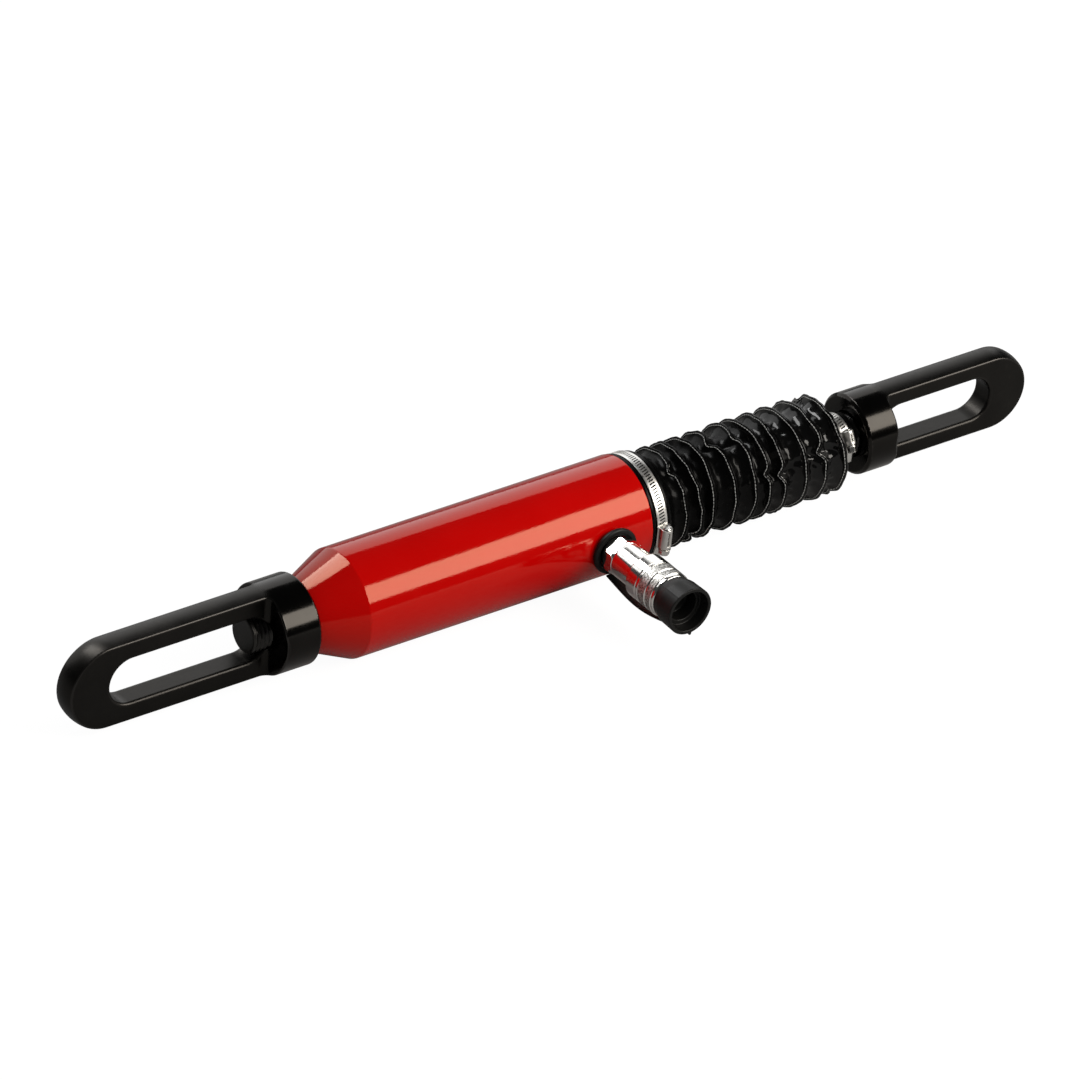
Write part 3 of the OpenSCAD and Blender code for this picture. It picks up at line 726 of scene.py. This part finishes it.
def bellows_rows(phi):
    """The bellows' outside, one ring of (station, radius) after another."""
    rows = []
    crests = [crest(i, phi) for i in range(FOLDS)]

    def flank(s0, r0, s1, r1, depth, index, steps=11):
        """From seam to seam through a valley."""
        for k in range(1, steps):
            t = k / steps
            sink = np.sin(math.pi * t) ** 0.75
            slack = CREASES[index] * crease_ripple[index](phi + 3 * t) * math.sin(math.pi * t)
            level = r0 + (r1 - r0) * t - (depth + valley_ripple[index](phi)) * sink
            shift = 0.8 * valley_ripple[index](phi + 2) * math.sin(TAU * t)
            rows.append((s0 + (s1 - s0) * t + shift, level + slack))

    s, r = crests[0]
    start_s = np.full_like(phi, X_BELLOWS)
    rows.append((start_s, np.full_like(phi, NECK_R + 2.1)))
    rows.append((start_s + 1.5, np.full_like(phi, NECK_R + 1.9)))
    flank(start_s + 3, NECK_R + 0.8 + 0 * phi, s - 0.8, r, 4.0, 0, 9)
    for i, (s, r) in enumerate(crests):
        ruffle = hem_ruffle(i, phi)
        rim = HEM + 0.25 * crest_ripple[i](3 * phi)
        for ds, dr in ((-0.75, 0), (-0.7, 0.4 * HEM), (-0.6, 0.92 * HEM), (0, HEM),
                       (0.6, 0.92 * HEM), (0.7, 0.4 * HEM), (0.75, 0)):
            share = dr / HEM
            rows.append((s + ds + ruffle * share, r + dr * rim / HEM))
        if i + 1 < FOLDS:
            s2, r2 = crests[i + 1]
            flank(s + 0.8, r, s2 - 0.8, r2, 6.5, i + 1)
    s, r = crests[-1]
    pleat = waves(4, 11, 17)(phi)
    for k in range(1, 15):
        t = k / 14
        level = r + (ROD_R + 2.6 - r) * t ** 0.85
        puff = 1.6 * math.sin(math.pi * t) * pleat
        rows.append((s + 0.8 + (X_SMALL_CUFF - s - 0.8) * t ** 1.7, level + puff))
    return rows


def bellows():
    segs = 360
    phi = np.arange(segs) * TAU / segs
    rows = bellows_rows(phi)
    outer = [frame_x(np.clip(s, X_BELLOWS, X_SMALL_CUFF), r, phi) for s, r in rows]
    inner = [frame_x(np.clip(s, X_BELLOWS, X_SMALL_CUFF), np.maximum(r - CLOTH_T, ROD_R + 0.8), phi)
             for s, r in reversed(rows)]
    verts = np.concatenate(outer + inner)
    obj = new_object("bellows_cloth_folds", verts, grid_faces(len(outer) * 2, segs, True),
                     MATERIALS["bellows_cloth"])
    outward(obj)
    obj.data.set_sharp_from_angle(angle=math.radians(75))
    return obj


def capsule(a, b, r, sides=6):
    """Vertices and faces of a short rounded stitch from a to b."""
    a, b = np.array(a), np.array(b)
    d = (b - a) / np.linalg.norm(b - a)
    u = np.cross(d, [1, 0, 0])
    if np.linalg.norm(u) < 0.1:
        u = np.cross(d, [0, 1, 0])
    u = u / np.linalg.norm(u)
    v = np.cross(d, u)
    verts = [a - d * r * 0.7]
    for p, size in ((a, 0.75), (a + d * r, 1), (b - d * r, 1), (b, 0.75)):
        for k in range(sides):
            t = TAU * k / sides
            verts.append(p + (u * math.cos(t) + v * math.sin(t)) * r * size)
    verts.append(b + d * r * 0.7)
    faces = [(0, 1 + (k + 1) % sides, 1 + k) for k in range(sides)]
    faces += [(1 + i * sides + k, 1 + i * sides + (k + 1) % sides,
               1 + (i + 1) * sides + (k + 1) % sides, 1 + (i + 1) * sides + k)
              for i in range(3) for k in range(sides)]
    last = 1 + 4 * sides
    faces += [(last, 1 + 3 * sides + k, 1 + 3 * sides + (k + 1) % sides) for k in range(sides)]
    return verts, faces


STITCHES = 84


def stitching():
    """A row of stitches on both faces of every seam."""
    verts, faces = [], []
    for i in range(FOLDS):
        for side in (-1, 1):
            for k in range(STITCHES):
                ends = []
                for share in (0.14, 0.86):
                    phi = np.array([(k + share) * TAU / STITCHES])
                    s, r = crest(i, phi)
                    s = s + hem_ruffle(i, phi) * 0.3 + side * 0.95
                    height = 0.3 * HEM if side < 0 else 0.05
                    ends.append(frame_x(s, r + height, phi)[0])
                v, f = capsule(*ends, 0.34)
                base_index = len(verts)
                verts += v
                faces += [tuple(base_index + n for n in face) for face in f]
    return new_object("bellows_stitching", verts, faces, THREAD)


folds_piece = bellows()
seams_piece = stitching()
for piece in (folds_piece, seams_piece):
    stands_for(piece, "cylinder", "bellows_cloth", "bellows")
    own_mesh(piece)


# ---- Cuffs ----

rear_low = corner("bellows_rear_cuff")[0]
rear_profile = refined(rounded([
    (rear_low[0], NECK_R + 0.1), (rear_low[0], NECK_R + 3.4, 0.9),
    (rear_low[0] + 2.6, NECK_R + 3.6, 0.9),
    (rear_low[0] + 3.4, NECK_R + 2.0, 0.5), (X_BELLOWS, NECK_R + 2.0), (X_BELLOWS, NECK_R + 0.1)]), 0.8)
rear_cuff = turned("rear_cuff_cloth", rear_profile, MATERIALS["bellows_cloth"], segs=160,
                   closed=True)
stands_for(rear_cuff, "cylinder", "bellows_cloth", "bellows_rear_cuff")

front_low, front_high = corner("bellows_front_cuff")
front_profile = refined(rounded([
    (front_low[0], ROD_R + 0.1), (front_low[0], ROD_R + 2.4, 0.5),
    (front_low[0] + 5.4, ROD_R + 2.3, 0.5),
    (front_high[0] - 0.3, ROD_R + 2.3, 0.6), (front_high[0], ROD_R + 0.1)]), 0.8)
front_cuff = turned("front_cuff_cloth", front_profile, MATERIALS["bellows_cloth"], segs=96,
                    closed=True)
stands_for(front_cuff, "rod", "bellows_cloth", "bellows_front_cuff")


# ---- Worm-drive clamps ----
BAND_T = 0.8
SCREW_GAP = 0.6
SLOT_PITCH = 2.3
LAST_SLOT = 2.3  # radians from the housing
TAIL_LIFT = 2.2


def band(name, x, r, width, turn, material):
    """A band with worm slots cut through it. turn is the housing's angle."""
    slots = round(TAU * r / SLOT_PITCH)
    per = 4
    segs = slots * per
    phi = np.arange(segs) * TAU / segs
    edge_rows = np.array([-width / 2, -width / 2 + 0.4, -0.27 * width, 0.27 * width,
                          width / 2 - 0.4, width / 2])
    lift = np.array([-0.12, 0, 0, 0, 0, -0.12])
    verts, faces = [], []
    slant = 0.5 * TAU / slots
    for j, (offset, rise) in enumerate(zip(edge_rows, lift)):
        lean = {2: -slant / 2, 3: slant / 2}.get(j, 0)
        verts.append(frame_x(np.full(segs, x + offset), np.full(segs, r + BAND_T + rise), phi + lean))
    top = np.concatenate(verts)
    under = np.concatenate([frame_x(np.full(segs, x + o), np.full(segs, r), phi) if j in (0, 5) else
                            frame_x(np.full(segs, x + o), np.full(segs, r + 0.02),
                                    phi + {2: -slant / 2, 3: slant / 2}.get(j, 0))
                            for j, o in enumerate(edge_rows)])
    n = len(top)

    def cut(j, k):
        angle = (phi[k] - turn + math.pi) % TAU - math.pi
        return j == 2 and k % per in (1, 2) and 0.1 < angle < LAST_SLOT

    for j in range(5):
        for k in range(segs):
            a, b = j * segs + k, j * segs + (k + 1) % segs
            c2, d = (j + 1) * segs + (k + 1) % segs, (j + 1) * segs + k
            if not cut(j, k):
                faces += [(a, b, c2, d), (n + d, n + c2, n + b, n + a)]
                continue
            if not cut(j, (k - 1) % segs):
                faces.append((a, d, n + d, n + a))
            if not cut(j, (k + 1) % segs):
                faces.append((c2, b, n + b, n + c2))
            faces += [(b, a, n + a, n + b), (d, c2, n + c2, n + d)]
    for k in range(segs):
        a, b = k, (k + 1) % segs
        faces.append((b, a, n + a, n + b))
        a, b = 5 * segs + k, 5 * segs + (k + 1) % segs
        faces.append((a, b, n + b, n + a))
    return outward(new_object(name, np.concatenate([top, under]), faces, material))


def clamp_frame(x, r, tilt):
    """Maps mm in a clamp screw's own frame, with Z along the screw, to the row frame."""
    centre = Vector((x, -r * math.cos(tilt), -r * math.sin(tilt)))
    return Matrix.Translation(centre) @ Matrix.Rotation(tilt, 4, "X")


def placed(obj, matrix):
    scale = Matrix.Scale(MM, 4)
    obj.data.transform(scale @ matrix @ scale.inverted())
    return obj


def housing(name, matrix, width, length, screw_r, band_r, material):
    """A folded steel housing that wraps the screw and clips round the band."""
    def distance(x, y, z):
        wall = screw_r + 1.3
        along = np.abs(z) - length / 2
        tube = np.hypot(x, y) - wall
        saddle = np.maximum(np.abs(x) - width / 2 - 1.0, np.abs(y - screw_r - 0.6) - 1.0)
        cheek = np.maximum(np.abs(x) - wall, np.abs(y - screw_r / 2) - screw_r / 2)
        body = either(np.minimum(tube, cheek), saddle, 1.2)
        body = both(body, along, 0.5)
        groove = np.hypot(x, 0.9 * (y + wall)) - 0.9
        body = both(body, -np.maximum(groove, np.abs(z) - length / 2 + 2.5), 0.3)
        body = both(body, -(np.hypot(x, y) - screw_r - 0.25), 0.25)
        axis_y = band_r + BAND_T + screw_r + SCREW_GAP
        return np.maximum(body, -(np.hypot(y - axis_y, z) - band_r - BAND_T - 0.02))

    reach = max(width / 2 + 2, screw_r + 3)
    low = (-reach, -screw_r - 3, -length / 2 - 1)
    high = (reach, screw_r + 4, length / 2 + 1)
    obj = carved(name, distance, low, high, 0.32, material)
    return placed(obj, matrix)


def worm(name, matrix, length, screw_r, material):
    """A worm screw with a flanged hexagon head that has a driver slot."""
    def distance(x, y, z):
        r = np.hypot(x, y)
        angle = np.arctan2(y, x)
        wave = np.abs(((z / 1.6 - angle / TAU) % 1) * 2 - 1)
        shank = np.maximum(r - screw_r + 0.6 * np.clip(1.4 * wave - 0.2, 0, 1),
                           np.abs(z) - length / 2 - 1)
        flange = both(r - screw_r * 1.4, np.abs(z + length / 2 + 1.1) - 0.45, 0.2)
        flat = screw_r * 1.08
        sextant = np.max([np.abs(x * math.cos(t) + y * math.sin(t))
                          for t in (0, math.pi / 3, 2 * math.pi / 3)], axis=0) - flat
        head = both(sextant, np.abs(z + length / 2 + 3.5) - 2.4, 0.35)
        head = bevelled(head, r - flat * 1.02 - z - length / 2 - 5.9, 0.1)
        slot = np.maximum(np.abs(y) - 0.5, z + length / 2 + 4.6)
        return np.maximum(np.minimum(np.minimum(shank, flange), head), -slot) * 0.8

    reach = screw_r * 1.5 + 0.6
    obj = carved(name, distance, (-reach, -reach, -length / 2 - 7), (reach, reach, length / 2 + 2),
                 0.24, material)
    return placed(obj, matrix)


def tail(name, x, r, tilt, start, stop, lift, width, material):
    """The band's free end, which stands off the band past the housing."""
    n = 16
    centre, normal, across = [], [], []
    for i in range(n + 1):
        t = i / n
        angle = -tilt + math.radians(start + (stop - start) * t)
        radius = r + 1.3 + lift * t * t
        centre.append(np.array([x, -radius * math.cos(angle), radius * math.sin(angle)]))
        normal.append(np.array([0, -math.cos(angle), math.sin(angle)]))
        across.append(np.array([1.0, 0, 0]))
    return ribbon(name, centre, across, normal, [width / 2] * (n + 1), [0.4] * (n + 1), material)


def clamp(prefix, body, x, r, tilt_deg, width, length, screw_r, screw_body):
    tilt = math.radians(tilt_deg)
    steel, screw = MATERIALS["stainless_band"], MATERIALS["stainless_screw"]
    matrix = clamp_frame(x, r + BAND_T + screw_r + SCREW_GAP, tilt)
    ring_band = band(f"{prefix}_band_slotted", x, r, width, -tilt, steel)
    housing_edge = -length / 2 / r * 57  # in degrees, near enough
    end = tail(f"{prefix}_band_tail", x, r, tilt, housing_edge - 2,
               housing_edge - (30 if r > 30 else 42), TAIL_LIFT, width - 0.4, steel)
    for piece in (ring_band, end):
        stands_for(piece, body, "stainless_band", f"{prefix}_band")
    case = housing(f"{prefix}_housing_folded", matrix, width, length, screw_r, r, steel)
    stands_for(case, body, "stainless_band", f"{prefix}_housing")
    worm_piece = worm(f"{prefix}_screw_worm", matrix, length, screw_r, screw)
    stands_for(worm_piece, screw_body, "stainless_screw", f"{prefix}_screw")


rear_band = corner("rear_clamp_band")
front_band = corner("front_clamp_band")
clamp("rear_clamp", "cylinder", (rear_band[0][0] + rear_band[1][0]) / 2, NECK_R + 2.2, 3, 9, 17,
      3.4, "rear_screw")
clamp("front_clamp", "rod", (front_band[0][0] + front_band[1][0]) / 2, ROD_R + 2.4, -30, 8, 11,
      2.8, "front_screw")


# ---- Springs inside ----

def coil(name, z0, z1, r, wire, turns, place, material):
    steps, sides = 28, 10
    n = turns * steps
    turn = np.arange(n + 1) * TAU / steps
    z = z0 + wire / 2 + (z1 - z0 - wire) * np.arange(n + 1) / n
    verts = []
    for k in range(sides):
        a = TAU * k / sides
        verts.append(place(z + wire / 2 * math.sin(a), r + wire / 2 * math.cos(a) + 0 * z, turn))
    verts = np.stack(verts, 1).reshape(-1, 3)
    faces = grid_faces(n + 1, sides)
    faces += [tuple(range(sides)), tuple(n * sides + k for k in reversed(range(sides)))]
    return outward(new_object(name, verts, faces, material))


spring_low, spring_high = corner("return_spring")
main_spring = coil("return_spring_coil", spring_low[0], spring_high[0], 21.5, 4.5, 7, frame_x,
                   MATERIALS["spring_steel"])
stands_for(main_spring, "cylinder", "spring_steel", "return_spring")
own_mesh(main_spring)

small_low, small_high = corner("poppet_spring")
small_spring = coil("poppet_spring_coil", -small_high[1], -small_low[1], 5, 1.1, 6, frame_coupler,
                    MATERIALS["spring_steel"])
stands_for(small_spring, "cylinder", "spring_steel", "poppet_spring")
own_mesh(small_spring)


# ---- Floor, light and camera ----
FLOOR_SIZE = 60
FLOOR_BOUNCE = (0.34, 0.34, 0.34, 1)
FLOOR_SHADOWED = (0.1, 0.1, 0.1, 1)
FLOOR_GLOW = 0.95
FILL = 0.55
GLOSS_FILL = 0.05
WARM = (1.0, 0.95, 0.88)
WHITE = (1, 1, 1)
CAMERA_AZIMUTH, CAMERA_ELEVATION, CAMERA_ROLL = 37.51, 32.546, 4.0
CAMERA_AIM = (371.1, 0.5, -4.05)
CAMERA_DISTANCE = 15.988
CAMERA_LENS = 725.05


def seen_or_bounced(tree, seen, bounced, output):
    """The camera sees one shader; light that the object reflects comes from the other."""
    path = tree.nodes.new("ShaderNodeLightPath")
    mix = tree.nodes.new("ShaderNodeMixShader")
    tree.links.new(path.outputs["Is Camera Ray"], mix.inputs[0])
    tree.links.new(bounced, mix.inputs[1])
    tree.links.new(seen, mix.inputs[2])
    tree.links.new(mix.outputs[0], output)


def floor():
    mesh = bpy.data.meshes.new("floor")
    mesh.from_pydata([(x * FLOOR_SIZE, y * FLOOR_SIZE, -BARREL_R * MM)
                      for x, y in ((-1, -1), (1, -1), (1, 1), (-1, 1))], [], [(0, 1, 2, 3)])
    obj = bpy.data.objects.new("floor", mesh)
    bpy.context.scene.collection.objects.link(obj)
    p = Paint("floor", Roughness=0.9, Specular_IOR_Level=0.0)
    p.shader.inputs["Base Color"].default_value = FLOOR_BOUNCE
    pale = p.node("ShaderNodeBsdfDiffuse", Color=FLOOR_SHADOWED)
    glow = p.node("ShaderNodeEmission", Color=(1, 1, 1, 1), Strength=FLOOR_GLOW)
    add = p.node("ShaderNodeAddShader")
    p.put(add.inputs[0], pale.outputs[0])
    p.put(add.inputs[1], glow.outputs[0])
    seen_or_bounced(p.tree, add.outputs[0], p.shader.outputs[0],
                    p.tree.nodes["Material Output"].inputs["Surface"])
    mesh.materials.append(p.mat)


def softbox(name, place, aim, size, power, colour, gloss_only=False):
    """A rectangular light. A gloss-only one shows in reflections and lights nothing."""
    light = bpy.data.lights.new(name, "AREA")
    light.color = colour
    light.shape = "RECTANGLE"
    light.size, light.size_y = size
    light.energy = power
    obj = bpy.data.objects.new(name, light)
    bpy.context.scene.collection.objects.link(obj)
    obj.location = place
    obj.rotation_euler = (Vector(aim) - Vector(place)).to_track_quat("-Z", "Y").to_euler()
    obj.visible_camera = False
    obj.visible_diffuse = not gloss_only


def camera():
    azimuth, elevation = math.radians(CAMERA_AZIMUTH), math.radians(CAMERA_ELEVATION)
    aim = Vector(CAMERA_AIM) * MM
    forward = Vector((math.sin(azimuth) * math.cos(elevation), math.cos(azimuth) * math.cos(elevation),
                      -math.sin(elevation)))
    data = bpy.data.cameras.new("camera")
    data.sensor_width = 36
    data.lens = CAMERA_LENS
    data.clip_end = 200
    obj = bpy.data.objects.new("camera", data)
    bpy.context.scene.collection.objects.link(obj)
    roll = Matrix.Rotation(math.radians(CAMERA_ROLL), 4, "Z")
    turn = forward.to_track_quat("-Z", "Y").to_matrix().to_4x4() @ roll
    obj.matrix_world = Matrix.Translation(aim - forward * CAMERA_DISTANCE) @ turn
    bpy.context.scene.camera = obj


def world():
    """A white room: full white behind the object, a soft fill, and little of it in gloss."""
    w = bpy.data.worlds.new("studio")
    bpy.context.scene.world = w
    w.use_nodes = True
    tree = w.node_tree
    fill = tree.nodes["Background"]
    fill.inputs[0].default_value = (1, 1, 1, 1)
    fill.inputs[1].default_value = FILL
    dim = tree.nodes.new("ShaderNodeBackground")
    dim.inputs[0].default_value = (1, 1, 1, 1)
    dim.inputs[1].default_value = GLOSS_FILL
    white = tree.nodes.new("ShaderNodeBackground")
    white.inputs[0].default_value = (1, 1, 1, 1)
    path = tree.nodes.new("ShaderNodeLightPath")
    in_gloss = tree.nodes.new("ShaderNodeMixShader")
    tree.links.new(path.outputs["Is Glossy Ray"], in_gloss.inputs[0])
    tree.links.new(fill.outputs[0], in_gloss.inputs[1])
    tree.links.new(dim.outputs[0], in_gloss.inputs[2])
    seen_or_bounced(tree, white.outputs[0], in_gloss.outputs[0],
                    tree.nodes["World Output"].inputs["Surface"])


floor()
world()
camera()
softbox("key", (1.5, -1.38, 1.12), (0.38, 0, 0), (1.75, 1.08), 44, WARM)
softbox("above", (-0.05, 1.15, 1.9), (0.17, 0, 0), (0.85, 1.3), 30, WHITE, True)
softbox("back_card", (0.8, 2.6, 1.25), (0.5, 0, 0), (5.4, 2.3), 52, WHITE, True)
bpy.context.scene.view_settings.view_transform = "Standard"
